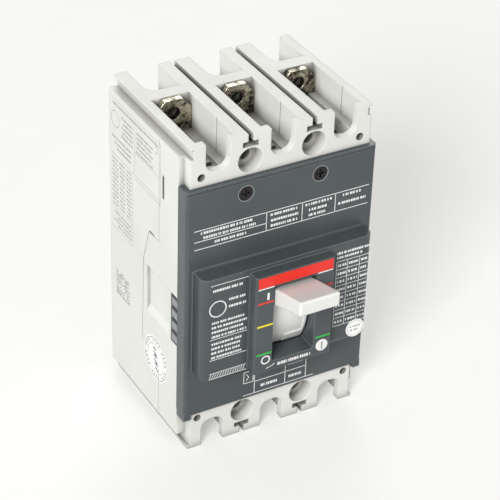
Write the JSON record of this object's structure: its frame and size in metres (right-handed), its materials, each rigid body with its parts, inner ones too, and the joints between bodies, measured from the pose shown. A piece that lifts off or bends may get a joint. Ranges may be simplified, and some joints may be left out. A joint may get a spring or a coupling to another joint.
{
  "type": "circuit breaker",
  "caption": "Moulded-case circuit breaker with a toggle handle, screw terminal pockets at both ends, arc chutes, contact arms and a push-to-trip button.",
  "frame": {"origin": "middle of the bounding box at the height of the load end, on which the breaker stands", "axes": "+Z from the load end to the line end, -Y out of the front, +X to the right seen from the front"},
  "size_m": [0.0762, 0.089, 0.13],
  "materials": {
    "case_grey": "satin, moulded thermoset",
    "cover_slate": "fine satin grain",
    "handle_white": "satin",
    "button_white": "satin",
    "badge_red": "printed label",
    "sticker_white": "paper label",
    "black_screw": "black oxide",
    "zinc_steel": "zinc plated",
    "mechanism_steel": "pressed sheet",
    "spring_steel": "bright wire",
    "nickel_plate": "nickel plated, handled",
    "copper": "bare copper",
    "silver": "silver alloy",
    "black_moulding": "moulded",
    "fibre": "vulcanised fibre",
    "chute_steel": "coppered sheet",
    "bimetal_strip": "rolled strip",
    "soft_iron": "pressed sheet"
  },
  "bodies": {
    "case": {"case_base": "case_grey", "case_middle": "case_grey", "front_cover": "cover_slate", "badge_strip": "badge_red", "quality_sticker": "sticker_white", "wing_sticker": "sticker_white", "cover_screws": "black_screw", "case_screws": "zinc_steel", "cradle_pin": "zinc_steel", "calibrating_screws": "zinc_steel", "mechanism_plate_left": "mechanism_steel", "mechanism_plate_right": "mechanism_steel", "cradle": "mechanism_steel", "button_spring": "spring_steel", "line_terminal_1": "nickel_plate", "line_terminal_2": "nickel_plate", "line_terminal_3": "nickel_plate", "load_terminal_1": "nickel_plate", "load_terminal_2": "nickel_plate", "load_terminal_3": "nickel_plate", "braid_1": "copper", "braid_2": "copper", "braid_3": "copper", "fixed_contact_tips": "silver", "arc_chute_cheeks_1": "fibre", "arc_chute_cheeks_2": "fibre", "arc_chute_cheeks_3": "fibre", "arc_chute_plates_1": "chute_steel", "arc_chute_plates_2": "chute_steel", "arc_chute_plates_3": "chute_steel", "bimetal_1": "bimetal_strip", "bimetal_2": "bimetal_strip", "bimetal_3": "bimetal_strip", "magnet_1": "soft_iron", "magnet_2": "soft_iron", "magnet_3": "soft_iron"},
    "handle_body": {"handle": "handle_white", "handle_yoke": "mechanism_steel"},
    "spring_body": {"main_spring": "spring_steel"},
    "crossbar_body": {"crossbar": "black_moulding", "arm_pins": "zinc_steel", "contact_arm_1": "copper", "contact_arm_2": "copper", "contact_arm_3": "copper", "moving_contact_tips": "silver", "link_pin": "zinc_steel"},
    "upper_link_body": {"upper_links": "mechanism_steel", "knee_pin": "zinc_steel"},
    "lower_link_body": {"lower_links": "mechanism_steel"},
    "button_body": {"trip_button": "button_white"},
    "trip_bar_body": {"trip_bar": "black_moulding"},
    "armature_1_body": {"armature_1": "soft_iron"},
    "armature_2_body": {"armature_2": "soft_iron"},
    "armature_3_body": {"armature_3": "soft_iron"}
  },
  "joints": [
    {"name": "handle_swing", "type": "hinge", "parent": "case", "child": "handle_body", "pos_m": [0, 0.0079, 0.0573], "axis": [1, 0, 0], "range_deg": [0, 34.8]},
    {"name": "spring_swing", "type": "hinge", "parent": "handle_body", "child": "spring_body", "pos_m": [0, -0.0165, 0.065], "axis": [1, 0, 0], "range_deg": [-19.6, 0]},
    {"name": "crossbar_turn", "type": "hinge", "parent": "case", "child": "crossbar_body", "pos_m": [0, 0.0305, 0.058], "axis": [1, 0, 0], "range_deg": [0, 20.1]},
    {"name": "upper_link_turn", "type": "hinge", "parent": "case", "child": "upper_link_body", "pos_m": [0, -0.0015, 0.061], "axis": [1, 0, 0], "range_deg": [-31.3, 0]},
    {"name": "lower_link_turn", "type": "hinge", "parent": "crossbar_body", "child": "lower_link_body", "pos_m": [0, 0.029, 0.0669], "axis": [1, 0, 0], "range_deg": [0, 6.4]},
    {"name": "trip_button_push", "type": "slide", "parent": "case", "child": "button_body", "axis": [0, 1, 0], "range_m": [0, 0.0015], "stiffness_N_per_m": 150, "deforming": ["button_spring"]},
    {"name": "trip_bar_turn", "type": "hinge", "parent": "case", "child": "trip_bar_body", "pos_m": [0, -0.0035, 0.035], "axis": [1, 0, 0], "range_deg": [-14, 0]},
    {"name": "armature_1_turn", "type": "hinge", "parent": "case", "child": "armature_1_body", "pos_m": [-0.0254, 0.0112, 0.0194], "axis": [1, 0, 0], "range_deg": [0, 3.8], "stiffness_Nm_per_rad": 0.02},
    {"name": "armature_2_turn", "type": "hinge", "parent": "case", "child": "armature_2_body", "pos_m": [0, 0.0112, 0.0194], "axis": [1, 0, 0], "range_deg": [0, 3.8], "stiffness_Nm_per_rad": 0.02},
    {"name": "armature_3_turn", "type": "hinge", "parent": "case", "child": "armature_3_body", "pos_m": [0.0254, 0.0112, 0.0194], "axis": [1, 0, 0], "range_deg": [0, 3.8], "stiffness_Nm_per_rad": 0.02}
  ],
  "couplings": [
    {"joint": "crossbar_turn", "follows": "handle_swing", "ratio": 0.5747},
    {"joint": "upper_link_turn", "follows": "handle_swing", "ratio": -0.8966},
    {"joint": "lower_link_turn", "follows": "handle_swing", "ratio": 0.178},
    {"joint": "spring_swing", "follows": "handle_swing", "ratio": -0.56},
    {"joint": "trip_bar_turn", "follows": "trip_button_push", "rad_per_m": -161.3}
  ]
}
